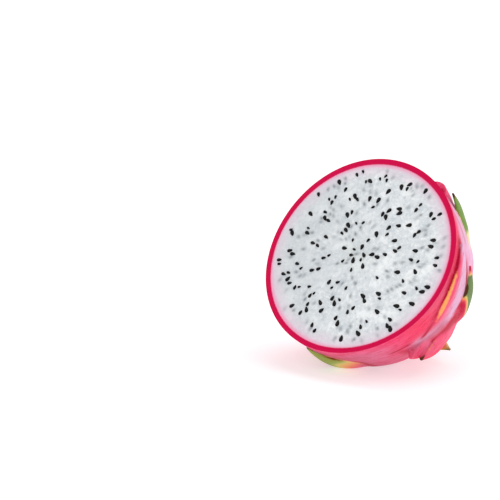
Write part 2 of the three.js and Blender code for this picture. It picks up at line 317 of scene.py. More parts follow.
class Side:
    """The fruit's side from the cut to the stem end, some way inside its skin."""

    def __init__(self, radius, length, inset=0.0):
        angle = np.linspace(0, math.pi / 2, 241)
        self.radius = radius - inset
        self.length = length - inset
        self.depth = self.length * np.sin(angle) ** (2 / END_ROUNDNESS)
        self.r = self.radius * np.maximum(np.cos(angle), 0) ** (2 / SIDE_FULLNESS)
        steps = np.hypot(np.diff(self.r), np.diff(self.depth))
        self.along = np.concatenate([[0], np.cumsum(steps)])
        self.total = self.along[-1]
        self.dr = np.gradient(self.r, self.along)
        self.ddepth = np.gradient(self.depth, self.along)

    def radius_at(self, along):
        """How far the side is from the axis at a distance over the skin."""
        return np.interp(along, self.along, self.r)

    def over(self, along, turn, height):
        """Points at a height over the skin. Before the cut the side runs straight."""
        before = np.asarray(along) <= 0
        r = np.where(before, self.radius, np.interp(along, self.along, self.r))
        depth = np.where(before, along, np.interp(along, self.along, self.depth))
        dr = np.where(before, 0.0, np.interp(along, self.along, self.dr))
        ddepth = np.where(before, 1.0, np.interp(along, self.along, self.ddepth))
        out = r * unevenness(turn) + height * ddepth
        return np.stack([out * np.cos(turn), out * np.sin(turn), height * dr - depth], -1)


# ---- Scales -------------------------------------------------------------------------------


def scale_traits(n, count):
    """Where a scale sits, how it is shaped and how it is coloured."""
    draw = draw_from(DRAW_START + 31 * n + 1)
    draw()  # not used, as the first draws of near starts are much alike
    share = n / max(count - 1, 1)
    traits = dict(
        along=lerp(FIRST_ALONG, LAST_ALONG, share**1.2),
        turn=FIRST_TURN + GOLDEN_TURN * n,
        length=lerp(FIRST_LENGTH, LAST_LENGTH, share) * lerp(0.92, 1.08, draw()),
        width=lerp(FIRST_WIDTH, LAST_WIDTH, share) * lerp(0.94, 1.06, draw()),
        heading=lerp(-20, 20, draw()),
        bend=lerp(-12, 12, draw()),
        lift=lerp(8, 16, draw()),
        curl=lerp(16, 40, draw()),
        roll=lerp(-6, 6, draw()),
        dome=0,
        fill=0,
        green=lerp(0.4, 0.75, draw()),
        grey=lerp(0.0, 0.5, draw()),
        margin=lerp(0.3, 0.9, draw()),
        tip=lerp(0.4, 1.0, draw()),
        edge=0.9,
        turning=0.22,
        slant=0,
        strip=0,
        deep=0,
        blush=0,
        bloom=0.15,
        flush=0.3,
        rust=0,
        rust_down=1,
        overgrown=0,
        scar=None,
        shade=1,
        phase=6.28 * draw(),
    )
    traits.update(OWN_BEARING.get(n, {}))
    traits.update(OWN_RIPENESS.get(n, {}))
    return traits


def blade_half_width(width, share):
    """Half the width of a scale, which narrows to its point and into its root."""
    root = np.clip(-share / ROOT_SHARE, 0, 1)
    in_root = (width / 2) * lerp(1, ROOT_WIDTH, root**1.6)
    ahead = np.clip(share, 0, 1)
    taper = (1 - ahead) ** 0.85 * (1 + 0.55 * ahead * (1 - ahead))
    in_blade = np.maximum((width / 2) * taper, TIP_HALF_WIDTH)
    return np.where(share < 0, in_root, in_blade)


def blade_thickness(share):
    """How thick a scale is in its middle, thickest at its base."""
    grown = np.clip(1 + share / ROOT_SHARE, 0, 1)
    blade = lerp(BASE_THICKNESS, TIP_THICKNESS, np.maximum(share, 0) ** 0.6)
    return lerp(ROOT_THICKNESS, blade, grown)


def spine_at(traits, share):
    """The middle line of a scale: ahead and aside over the skin, height, way and lean."""
    length = traits["length"]
    blade = np.maximum(share, 0)
    ahead = np.where(share < 0, share * length, 0.0)
    root = np.clip(-share / ROOT_SHARE, 0, 1)
    height = -BASE_DEPTH - ROOT_DEPTH * root**1.3
    aside = np.zeros_like(share)
    way = np.zeros_like(share)
    lean = np.zeros_like(share)
    for i in range(SPINE_SLICES):
        here = ((i + 0.5) / SPINE_SLICES) * blade
        step = length * blade / SPINE_SLICES
        lean = np.radians(traits["lift"] * np.minimum(here * 5, 1) + traits["curl"] * here**1.5)
        way = np.radians(traits["bend"] * here)
        ahead = ahead + step * np.cos(way) * np.cos(lean)
        height = height + step * np.cos(way) * np.sin(lean)
        aside = aside + step * np.sin(way)
    return ahead, aside, height, way, lean


def blade_points(side, traits, share, x, z):
    """Points of a scale: share of its length, x across from -1 to 1, z from -0.5 to 0.5."""
    ahead0, aside0, height0, way, lean = spine_at(traits, share)
    across = x * blade_half_width(traits["width"], share)
    off = z * blade_thickness(share) * (1 - EDGE_THINNING * x * x) - traits["dome"] * x * x
    # Ridges that run the length of the scale, and edges that wave a little
    free = np.clip(share * 2.5, 0, 1)
    off = off + np.where(z > 0, RIDGE_HEIGHT * np.cos(x * 9.4) * (1 - 0.6 * free), 0)
    wave = np.sin(share * 9 + traits["phase"] + 1.7 * x)
    off = off + WAVE_HEIGHT * free * np.abs(x) ** 3 * wave * np.clip(1.15 - share, 0, 1)
    rolled = np.radians(traits["roll"]) * np.clip(share * 3, 0, 1)
    sideways = across * np.cos(rolled) - off * np.sin(rolled)
    face = across * np.sin(rolled) + off * np.cos(rolled)
    back = sideways * np.sin(way)
    ahead = ahead0 - back * np.cos(lean) - face * np.sin(lean)
    height = height0 - back * np.sin(lean) + face * np.cos(lean)
    # A scale that is a fold of the skin has no gap under it
    filled = traits["fill"] * (1 - smooth(0.93, 1, share)) * (z < 0)
    height = lerp(height, np.minimum(height, -BASE_DEPTH), filled)
    aside = aside0 + sideways * np.cos(way)
    sin, cos = math.sin(math.radians(traits["heading"])), math.cos(math.radians(traits["heading"]))
    along = traits["along"] - ahead * cos + aside * sin
    middle = np.maximum(side.radius_at(np.clip(along, 0, side.total)), 8)
    turn = math.radians(traits["turn"]) + (ahead * sin + aside * cos) / middle
    return side.over(along, turn, height)


def near_scale(side, traits, along, turn):
    """Where points of the skin lie under a scale: share of its length and x across."""
    sin, cos = math.sin(math.radians(traits["heading"])), math.cos(math.radians(traits["heading"]))
    middle = np.maximum(side.radius_at(np.clip(along, 0, side.total)), 8)
    gap = turn - math.radians(traits["turn"])
    gap = (gap + math.pi) % (2 * math.pi) - math.pi
    back, beside = traits["along"] - along, gap * middle
    ahead = back * cos + beside * sin
    aside = -back * sin + beside * cos
    share = ahead / traits["length"]
    bent = np.clip(share, 0, 1)
    aside = aside - traits["length"] * bent * np.sin(np.radians(traits["bend"] * bent / 2))
    return share, aside / blade_half_width(traits["width"], np.clip(share, -ROOT_SHARE, 1))


# ---- Modelling ----------------------------------------------------------------------------

SAME_CORNER = 0.002  # corners nearer than this are one
SLIVER = 0.06  # faces narrower than this are merged away


def clear_selection():
    """Leaves edit mode and deselects everything."""
    if bpy.context.object and bpy.context.object.mode != "OBJECT":
        bpy.ops.object.mode_set(mode="OBJECT")
    bpy.ops.object.select_all(action="DESELECT")


def take(piece):
    """Makes a piece the one that operators act on."""
    clear_selection()
    piece.select_set(True)
    bpy.context.view_layer.objects.active = piece
    return piece


@contextmanager
def editing(piece):
    """Edit mode on a piece, with all of it selected."""
    take(piece)
    bpy.ops.object.mode_set(mode="EDIT")
    bpy.ops.mesh.select_all(action="SELECT")
    yield
    bpy.ops.object.mode_set(mode="OBJECT")


def corners(piece):
    """The corners of a piece, in metres."""
    co = np.empty(len(piece.data.vertices) * 3)
    piece.data.vertices.foreach_get("co", co)
    return co.reshape(-1, 3)


def set_corners(piece, points):
    """Moves the corners of a piece to points, in metres."""
    piece.data.vertices.foreach_set("co", np.asarray(points, np.float32).ravel())
    piece.data.update()


def edge_ends(piece):
    """The two corners of each edge of a piece."""
    ends = np.empty(len(piece.data.edges) * 2, np.int32)
    piece.data.edges.foreach_get("vertices", ends)
    return ends.reshape(-1, 2)


def note(piece, name, values):
    """Keeps a number at each corner of a piece for its material."""
    found = piece.data.attributes.get(name) or piece.data.attributes.new(name, "FLOAT", "POINT")
    found.data.foreach_set("value", np.asarray(values, np.float32).ravel())


def noted(piece, name):
    """The numbers kept under a name at the corners of a piece."""
    values = np.empty(len(piece.data.vertices), np.float32)
    piece.data.attributes[name].data.foreach_get("value", values)
    return values


def wrapped_grid(name, columns, rows, place, notes=None):
    """A grid primitive laid over a form. place(u, v) gives points of the fruit's own frame,
    and notes(u, v) numbers to keep at them. Its seam and ends are closed by a merge."""
    clear_selection()
    bpy.ops.mesh.primitive_grid_add(x_subdivisions=columns, y_subdivisions=rows, size=1)
    piece = bpy.context.object
    piece.name = piece.data.name = name
    flat = corners(piece)
    u, v = flat[:, 0] + 0.5, flat[:, 1] + 0.5
    set_corners(piece, in_world(place(u, v)))
    for key, values in (notes(u, v) if notes else {}).items():
        note(piece, key, values)
    with editing(piece):
        bpy.ops.mesh.remove_doubles(threshold=SAME_CORNER * MM)
        bpy.ops.mesh.normals_make_consistent(inside=False)
    return piece


def combine(piece, other, operation):
    """Joins another piece to a piece, or cuts it away, and deletes it."""
    take(piece)
    modifier = piece.modifiers.new("combine", "BOOLEAN")
    modifier.operation = operation
    modifier.solver = "MANIFOLD"
    modifier.object = other
    bpy.ops.object.modifier_apply(modifier=modifier.name)
    bpy.data.objects.remove(other)


def merge_slivers(piece, distance):
    """Merges corners that are close together, and takes out the corners where only two edges
    meet, as the faces on both sides would be cut into the same sliver there."""
    with editing(piece):
        bpy.ops.mesh.remove_doubles(threshold=distance)
        bpy.ops.mesh.select_all(action="DESELECT")
    for _ in range(3):  # a corner may have just two edges only once its neighbour is gone
        ends = np.bincount(edge_ends(piece).ravel(), minlength=len(piece.data.vertices))
        piece.data.vertices.foreach_set("select", ends == 2)
        bpy.ops.object.mode_set(mode="EDIT")
        bpy.ops.mesh.dissolve_verts()
        bpy.ops.object.mode_set(mode="OBJECT")


def nearest_of(piece, points):
    """For each corner of a piece, the nearest of some points and how far it is."""
    tree = KDTree(len(points))
    for i, point in enumerate(points):
        tree.insert(point, i)
    tree.balance()
    found = [tree.find(v.co) for v in piece.data.vertices]
    return np.array([f[1] for f in found]), np.array([f[2] for f in found])


def spread_over(piece, values, weights, rounds):
    """Evens out values at the corners of a piece along its edges, as far as weights allow."""
    a, b = edge_ends(piece).T
    count = np.bincount(np.concatenate([a, b]), minlength=len(values))
    for _ in range(rounds):
        total = np.bincount(a, values[b], len(values)) + np.bincount(b, values[a], len(values))
        values = lerp(values, total / np.maximum(count, 1), weights * 0.6)
    return values


def smooth_faces(piece, degrees):
    """Shades a piece smooth, but for edges sharper than an angle."""
    take(piece)
    bpy.ops.object.shade_smooth_by_angle(angle=math.radians(degrees))


# ---- Materials ----------------------------------------------------------------------------


class Value:
    """A number that varies over a surface. Arithmetic on it adds Math nodes."""

    def __init__(self, paint, socket):
        self.paint, self.socket = paint, socket

    def _math(self, operation, *terms):
        made = self.paint.node("ShaderNodeMath", {"operation": operation}, dict(enumerate(terms)))
        return Value(self.paint, made.outputs[0])

    def __add__(self, other):
        return self._math("ADD", self, other)

    __radd__ = __add__

    def __sub__(self, other):
        return self._math("SUBTRACT", self, other)

    def __rsub__(self, other):
        return self._math("SUBTRACT", other, self)

    def __mul__(self, other):
        return self._math("MULTIPLY", self, other)

    __rmul__ = __mul__

    def __truediv__(self, other):
        return self._math("DIVIDE", self, other)

    def __pow__(self, other):
        return self._math("POWER", self, other)

    def rise(self, low, high):
        """0 at low, 1 at high, with a smooth rise between them."""
        made = self.paint.node(
            "ShaderNodeMapRange", {"interpolation_type": "SMOOTHSTEP"},
            {"Value": self, "From Min": low, "From Max": high},
        )
        return Value(self.paint, made.outputs[0])

    def clamped(self):
        return self._math("MAXIMUM", self._math("MINIMUM", self, 1.0), 0.0)


class Paint:
    """A material under way: one method adds every node, and a few name the common ones."""

    def __init__(self, name):
        self.material = bpy.data.materials.new(name)
        self.material.use_nodes = True
        self.tree = self.material.node_tree
        self.tree.nodes.clear()
        self.shader = self.node("ShaderNodeBsdfPrincipled")
        self.node("ShaderNodeOutputMaterial", None, {"Surface": self.shader.outputs[0]})

    def node(self, kind, settings=None, inputs=None):
        """Adds a node, with its settings first and then the values or links of its sockets."""
        made = self.tree.nodes.new(kind)
        for key, value in (settings or {}).items():
            if key == "stops":
                self._set_stops(made.color_ramp, value)
            else:
                setattr(made, key, value)
        for key, value in (inputs or {}).items():
            self.feed(made.inputs[key], value)
        return made

    def _set_stops(self, ramp, stops):
        while len(ramp.elements) < len(stops):
            ramp.elements.new(1.0)
        for element, (place, colour) in zip(ramp.elements, stops):
            element.position = place
            element.color = (*colour, 1.0)

    def feed(self, socket, value):
        """Links a socket, or sets it to a constant."""
        if isinstance(value, Value):
            self.tree.links.new(value.socket, socket)
        elif isinstance(value, bpy.types.NodeSocket):
            self.tree.links.new(value, socket)
        elif socket.type == "RGBA" and len(value) == 3:
            socket.default_value = (*value, 1.0)
        else:
            socket.default_value = value

    def surface(self, **inputs):
        """Sets sockets of the shader, which are named with _ for each space."""
        for key, value in inputs.items():
            self.feed(self.shader.inputs[key.replace("_", " ")], value)
        return self.material

    def noted(self, name):
        """A number that is kept at the corners of the piece."""
        made = self.node("ShaderNodeAttribute", {"attribute_name": name})
        return Value(self, made.outputs["Fac"])

    def place(self, stretch=(1, 1, 1)):
        """Where a point is in the fruit's own frame, in millimetres, stretched."""
        spot = self.node("ShaderNodeTexCoord").outputs["Object"]
        turned = self.node(
            "ShaderNodeMapping", {"vector_type": "TEXTURE"},
            {
                "Vector": spot,
                "Location": (0, -CUT_FORWARD * MM, CUT_HEIGHT * MM),
                "Rotation": (math.radians(90 - CUT_TILT), 0, 0),
            },
        )
        made = self.node(
            "ShaderNodeVectorMath", {"operation": "MULTIPLY"},
            {0: turned.outputs[0], 1: tuple(s / MM for s in stretch)},
        )
        return made.outputs[0]

    def noise(self, vector, size, detail=3.0, roughness=0.55, distortion=0.0):
        """Cloudy variation from 0 to 1 with blotches of about a size."""
        made = self.node(
            "ShaderNodeTexNoise", None,
            {
                "Vector": vector, "Scale": 1 / size, "Detail": detail,
                "Roughness": roughness, "Distortion": distortion,
            },
        )
        return Value(self, made.outputs[0])

    def mix(self, factor, a, b):
        """Colour a where the factor is 0, and b where it is 1."""
        made = self.node("ShaderNodeMix", {"data_type": "RGBA"}, {0: factor, 6: a, 7: b})
        return made.outputs[2]

    def ramp(self, factor, stops):
        """Colours in turn, each with the place where it stands from 0 to 1."""
        made = self.node("ShaderNodeValToRGB", {"stops": stops}, {0: factor})
        return made.outputs[0]

    def relief(self, height, distance, strength, under=None):
        """Fine relief as a normal: how high it rises in millimetres and how strongly it shows."""
        inputs = {"Height": height, "Distance": distance * MM, "Strength": strength}
        if under:
            inputs["Normal"] = under
        return self.node("ShaderNodeBump", None, inputs).outputs[0]

    def parts(self, vector):
        """The x, y and z of a vector."""
        made = self.node("ShaderNodeSeparateXYZ", None, {0: vector})
        return [Value(self, s) for s in made.outputs]


def skin_paint(colours):
    """Waxy pink skin that turns orange, yellow and green on the scales and dry at their tips,
    with painted shade in its creases and painted sheen in its lilac bloom.
    """
    paint = Paint("fruit_skin")
    spot = paint.place()
    x, y, z = paint.parts(spot)
    radius = (x * x + y * y) ** 0.5 + 0.5
    # Streaks run round the fruit: the pattern is long across its turn and short along it
    wrapped = paint.node(
        "ShaderNodeCombineXYZ", None, {0: x / radius * 4.2, 1: y / radius * 4.2, 2: z * 0.42}
    )
    streaks = paint.noise(wrapped.outputs[0], 1.0, detail=5, roughness=0.6, distortion=0.5)
    lines = paint.noise(wrapped.outputs[0], 0.34, detail=3, roughness=0.6, distortion=0.8)
    clouds = paint.noise(spot, 13, detail=3)
    patches = paint.noise(spot, 34, detail=2)
    grain = paint.noise(spot, 0.7, detail=2)
    pale = (clouds * 0.7 + streaks * 0.7 + lines * 0.5 + grain * 0.2 - 0.55).rise(0.2, 0.8)
    colour = paint.mix(pale, colours.skin_deep[:], colours.skin_pale[:])
    # Lilac of a waxy bloom and painted sheen, where the skin and the scales are noted for it
    bloom = (paint.noted("bloom") + (patches - 0.42) * 0.9).clamped()
    flushed = (paint.noted("flush") * (0.45 + 1.1 * streaks)).clamped()
    colour = paint.mix(flushed * 0.95, colour, colours.flush[:])
    streaked_bloom_and_sheen = (bloom * (0.3 + 0.9 * streaks + 0.4 * lines)).clamped()
    colour = paint.mix(streaked_bloom_and_sheen * 0.9, colour, colours.bloom[:])
    # Thin deep lines in the skin, in the same deep red as the painted shade
    colour = paint.mix((0.44 - lines).rise(0.0, 0.16) * 0.5, colour, colours.crease[:])
    # Painted shade, in deep red, in the creases under and beside the scales and in the grooves
    crease = paint.noted("crease")
    colour = paint.mix((crease * (0.7 + 0.9 * streaks)).clamped(), colour, colours.crease[:])
    # Fine pale dots of the wax
    dots = paint.node("ShaderNodeTexVoronoi", None, {"Vector": spot, "Scale": 1 / 0.95})
    ribs = paint.noted("ribs")
    # Painted shade in the grooves between the ribs of the scales
    colour = paint.mix((1 - ribs.rise(0.0, 0.4)) * 0.4, colour, colours.crease[:])
    dotted = 1 - Value(paint, dots.outputs["Distance"]).rise(0.05, 0.26)
    colour = paint.mix(dotted * 0.16, colour, tone(252, 196, 216))

    ripe = paint.noted("ripe")
    veins = paint.noise(paint.place((1, 1, 0.3)), 1.1, detail=3)
    ripe_here = (ripe + (streaks - 0.5) * 0.26 + (veins - 0.5) * 0.12).clamped()
    grey = paint.noted("grey")
    green = paint.mix(grey.clamped(), colours.leaf[:], colours.leaf_grey[:])
    green = paint.mix((0 - grey).clamped(), green, colours.leaf_pale[:])
    green = paint.mix(
        (veins * 0.9 - 0.1).clamped(), green, paint.mix(0.3, green, tone(176, 205, 100))
    )
    ripening = paint.ramp(
        ripe_here,
        [
            (0.0, tone(232, 52, 104)), (0.25, tone(238, 92, 92)), (0.42, tone(244, 158, 96)),
            (0.58, tone(224, 200, 108)), (0.75, tone(168, 188, 88)),
        ],
    )
    # Under its waxy bloom and painted sheen it is cream rather than orange
    ripening = paint.mix((bloom * 0.8).clamped(), ripening, tone(234, 214, 176))
    ripening = paint.mix(ripe_here.rise(0.6, 0.85), ripening, green)
    colour = paint.mix(ripe_here.rise(0.04, 0.3), colour, ripening)
    margin = (paint.noted("margin") + (veins - 0.5) * 0.5).rise(0.2, 0.7)
    colour = paint.mix(margin, colour, colours.margin[:])
    rust = (paint.noted("rust") + (veins - 0.5) * 0.3).rise(0.1, 0.5)
    rusty = paint.mix(veins.rise(0.4, 0.8) * 0.5, colours.rust[:], tone(170, 84, 30))
    colour = paint.mix(rust, colour, rusty)
    dry = (paint.noted("dry") + (streaks - 0.5) * 0.5).rise(0.45, 0.75)
    colour = paint.mix(dry, colour, colours.dry[:])

    fine = paint.noise(spot, 0.45, detail=2)
    normal = paint.relief(clouds + streaks * 0.6, 0.5, 0.35)
    normal = paint.relief(fine * 0.5 + ribs, 0.14, 0.5, under=normal)
    return paint.surface(
        Base_Color=colour,
        Roughness=(0.34 + 0.22 * clouds + 0.25 * dry).clamped(),
        Normal=normal,
        Subsurface_Weight=0.12,
        Subsurface_Radius=(0.9, 0.25, 0.3),
        Subsurface_Scale=1.2 * MM,
        Coat_Weight=0.02,
        Coat_Roughness=0.3,
        Specular_IOR_Level=0.07,
    )


def rind_paint(colours):
    """The rind where it is cut: wet crimson with a paler line beside the pulp."""
    paint = Paint("cut_rind")
    grain = paint.noise(paint.place(), 0.8, detail=3)
    clouds = paint.noise(paint.place(), 7, detail=2)
    from_pulp = paint.noted("from_pulp") + (grain - 0.5) * 0.4
    colour = paint.mix((clouds * 0.9 + grain * 0.4 - 0.3).clamped(), colours.rind[:],
                       tone(220, 4, 84))
    colour = paint.mix((1 - from_pulp.rise(0.0, 0.4)) * 0.8, colour, colours.rind_line[:])
    return paint.surface(
        Base_Color=colour,
        Roughness=(0.28 + 0.2 * grain).clamped(),
        Normal=paint.relief(grain, 0.1, 0.5),
        Subsurface_Weight=0.08,
        Subsurface_Radius=(0.9, 0.1, 0.2),
        Subsurface_Scale=0.8 * MM,
        Specular_IOR_Level=0.06,
    )


def pulp_paint(colours, sizes):
    """Wet white pulp with fine fibres, seeds that show through, and a lilac rim."""
    paint = Paint("fruit_pulp")
    spot = paint.place()
    x, y, z = paint.parts(spot)
    x, y = x - INSIDE_SHIFT[0], y - INSIDE_SHIFT[1]
    radius = (x * x + y * y) ** 0.5
    # Fibres run out from the heart: the pattern is long across the circle and short round it
    round_x, round_y = x / (radius + 0.5), y / (radius + 0.5)
    fibre_spot = paint.node(
        "ShaderNodeCombineXYZ", None, {0: round_x * 26, 1: round_y * 26, 2: radius * 0.28}
    )
    fibres = paint.noise(fibre_spot.outputs[0], 1.0, detail=4, roughness=0.62)
    clouds = paint.noise(spot, 6.5, detail=4, roughness=0.6)
    grain = paint.noise(spot, 0.9, detail=3, roughness=0.65)
    inner = sizes.cut_radius / MM - sizes.skin_thickness / MM
    flecks = paint.noise(spot, 1.7, detail=4, roughness=0.7)
    colour = paint.mix(
        (clouds * 1.3 + fibres * 0.8 - 0.65).clamped(), tone(208, 215, 220), colours.pulp[:]
    )
    blotches = paint.noise(spot, 10, detail=3, roughness=0.55)
    colour = paint.mix((blotches - 0.51).rise(0.0, 0.12) * 0.75, colour, tone(246, 249, 250))
    colour = paint.mix((0.47 - blotches).rise(0.0, 0.14) * 0.5, colour, tone(188, 198, 205))
    colour = paint.mix((flecks - 0.5).rise(0.0, 0.18) * 0.7, colour, tone(252, 253, 253))
    colour = paint.mix((0.48 - flecks).rise(0.0, 0.18) * 0.6, colour, tone(176, 188, 196))
    colour = paint.mix((grain - 0.45).rise(0.0, 0.3) * 0.3, colour, tone(250, 251, 252))
    # One side is a little duller, and the heart a little greener between its seeds
    colour = paint.mix((0 - x + clouds * 20).rise(4, 44) * 0.5, colour, tone(196, 202, 206))
    colour = paint.mix((1 - radius.rise(2, 13)) * 0.4, colour, tone(214, 221, 219))
    rim = (radius + (clouds - 0.5) * 4).rise(inner - 7.5, inner - 0.5)
    colour = paint.mix(rim * 0.7, colour, colours.pulp_rim[:])
    edge = (radius + (grain - 0.5) * 0.6).rise(inner - 2.4, inner + 0.2)
    colour = paint.mix(edge ** 2 * 0.8, colour, colours.rind_line[:])
    colour = paint.mix((paint.noted("ghost") * 0.9).clamped(), colour, tone(88, 100, 108))
    sparkle = paint.noise(spot, 0.42, detail=2)
    normal = paint.relief(clouds * 0.6 + fibres, 0.22, 0.55)
    normal = paint.relief(sparkle, 0.14, 0.55, under=normal)
    return paint.surface(
        Base_Color=colour,
        Roughness=(0.2 + 0.25 * grain).clamped(),
        Normal=normal,
        Subsurface_Weight=0.3,
        Subsurface_Radius=(1.0, 0.95, 0.95),
        Subsurface_Scale=1.6 * MM,
        Coat_Weight=0.15,
        Coat_Roughness=0.1,
    )


def seed_paint(colours):
    """Black, glossy seeds, a few a little browner."""
    paint = Paint("fruit_seed")
    grain = paint.noise(paint.place(), 1.6, detail=2)
    colour = paint.mix(grain.rise(0.55, 0.9) * 0.5, colours.seed[:], tone(38, 30, 30))
    return paint.surface(
        Base_Color=colour,
        Roughness=(0.2 + 0.2 * grain).clamped(),
        Normal=paint.relief(grain, 0.06, 0.4),
        Specular_IOR_Level=0.16,
    )


def stem_paint(colours):
    """Woody green-brown stem, paler and fibrous where it is cut."""
    paint = Paint("stem_stub")
    grain = paint.noise(paint.place((1, 1, 0.2)), 0.6, detail=4, roughness=0.65)
    clouds = paint.noise(paint.place(), 3.0, detail=3)
    colour = paint.mix(grain, colours.stem[:], tone(96, 84, 52))
    colour = paint.mix(clouds.rise(0.45, 0.75) * 0.6, colour, tone(164, 150, 96))
    colour = paint.mix(paint.noted("cut") * 0.8, colour, tone(196, 180, 132))
    return paint.surface(
        Base_Color=colour, Roughness=(0.55 + 0.3 * grain).clamped(),
        Normal=paint.relief(grain, 0.3, 0.7),
    )


def floor_paint(colours):
    """Plain pale floor, matt, which also glows evenly: painted light that lightens the shadows on
    it.
    """
    paint = Paint("floor")
    clouds = paint.noise(paint.place(), 60, detail=2)
    colour = paint.mix(clouds * 0.3, colours.floor[:], tone(200, 200, 200))
    # The glow is painted light: it fills in the floor's shadows and lights the fruit from below
    return paint.surface(
        Base_Color=colour, Roughness=0.9, Specular_IOR_Level=0.1, Emission_Color=(1, 1, 1),
        Emission_Strength=0.5,
    )


# ---- The pieces ---------------------------------------------------------------------------

SKIN_COLUMNS = 300
SKIN_STEP = 0.95  # between rows of the skin's grid
SCALE_COLUMNS = 36
SCALE_ROWS = 40
SWELLING = 1.0  # how high the skin swells behind a scale


def skin_height(side, scales, along, turn):
    """How far the skin stands over the plain form: broad unevenness, and a swelling behind
    each scale that the scale grows out of."""
    height = 0.10 * np.sin(4 * turn + along * 0.11) + 0.08 * np.sin(7 * turn - along * 0.19 + 1)
    height = height * smooth(0, 8, along) - dent(along, turn)
    for traits in scales:
        share, x = near_scale(side, traits, along, turn)
        swell = smooth(-0.95, -0.05, share) * (1 - smooth(0.0, 0.3, share))
        height = np.maximum(height, SWELLING * swell * (1 - smooth(0.3, 1.15, np.abs(x))))
    return height


def scale_notes(traits, share, x, outer):
    """What the paint of a scale needs at a share of its length and x across, on its outer
    or its inner face."""
    half = blade_half_width(traits["width"], share)
    from_edge = np.maximum(1 - np.abs(x), 0) * half
    ripe = share + 0.16 * x * x + traits["slant"] * x
    ripe = smooth(traits["green"] - traits["turning"], traits["green"] + traits["turning"], ripe)
    ripe = ripe * smooth(0.0, 0.3, share) * (1 - traits["blush"] * smooth(0.84, 0.97, share))
    margin = np.exp(-((from_edge / traits["edge"]) ** 2)) * traits["margin"]
    margin = margin * smooth(0.08, 0.35, share) * (1 - 0.8 * smooth(0.86, 0.98, share))
    groove_shade = np.zeros_like(share)
    if traits["strip"]:
        from_left = (1 + x) * half
        inside = traits["strip"] * np.clip(1 - share / 0.58, 0, 1.3)
        margin = np.exp(-(((from_left - inside) / traits["edge"]) ** 2)) * traits["margin"]
        margin = margin * smooth(-0.15, 0.1, share) * (1 - smooth(0.6, 0.8, share))
        # Painted shade in the groove along its left edge, beside the strip
        groove_shade = np.exp(-((from_left / 0.7) ** 2)) * smooth(-0.3, 0, share)
        groove_shade = groove_shade * (1 - smooth(0.75, 0.95, share))
    # Near its root the skin may have grown over one side of a scale, up to a slanting line
    past = (x - 1 + traits["overgrown"] * (1 - share / 0.48)) * half
    over = (share < 0.48) * (traits["overgrown"] > 0)
    ripe = ripe * (1 - smooth(-0.6, 0.4, past) * over)
    margin = margin * (1 - smooth(-0.6, 0.4, past) * over)
    # Painted shade in the groove along that line, where a little rust lies too
    line = np.exp(-((past / 0.9) ** 2)) * smooth(-0.15, 0.05, share) * over
    groove_shade = np.maximum(groove_shade, line)
    rusty = abs(traits["rust"]) * (1 - smooth(0.4, 1.6, np.abs(x - traits["rust"]) * half))
    rust = rusty * smooth(0.15, 0.35, share) * (1 - smooth(0.55, 0.85, share))
    rust = np.maximum(rust * np.where(outer, 1, traits["rust_down"]), 0.35 * line)
    dry = traits["tip"] * smooth(0.88, 1.0, share + 0.03 * np.abs(x))
    if traits["scar"]:
        scar = 1.6 * np.exp(-(((share - traits["scar"]) / 0.07) ** 2) - ((x + 0.95) / 0.5) ** 2)
        dry = np.maximum(dry, scar)
    return dict(
        ripe=ripe,
        grey=np.full_like(share, traits["grey"]),
        margin=margin * (1 - 0.7 * smooth(0.75, 1.0, ripe)),
        rust=rust,
        dry=dry,
        # Painted shade in grooves beside its edge, on its outer face and on its inner face near the
        # root
        crease=np.where(
            outer,
            np.maximum(groove_shade, traits["deep"] * smooth(0.05, 0.5, share)),
            traits["shade"] * (1 - smooth(0.3, 1.0, share)),
        ),
        # Lilac of a waxy bloom and painted sheen over its far side and its point
        bloom=traits["bloom"] * np.maximum(smooth(-0.6, 0.0, x), smooth(0.8, 0.95, share)),
        flush=traits["flush"] * (1 - traits["bloom"] * smooth(-0.7, -0.1, x)),
        ribs=0.5 + 0.5 * np.sin(x * 20 + 0.8 * np.sin(share * 8)) * smooth(0.0, 0.3, share),
    )


def band(along, turn, start, end, width, strength):
    """A strength on a line over the skin, between two places of along and turn, and less
    beside it."""
    reach = 42  # millimetres of skin to a radian round the fruit, near the cut
    a, b = (np.array([place[0], reach * math.radians(place[1])]) for place in (start, end))
    spots = np.stack([along, reach * turn], -1)
    share = np.clip((spots - a) @ (b - a) / ((b - a) @ (b - a)), 0, 1)
    gap = np.linalg.norm(spots - a - share[:, None] * (b - a), axis=1)
    ends = smooth(0, 0.25, share) * (1 - smooth(0.7, 1, share))
    return strength * np.exp(-((gap / width) ** 2)) * ends


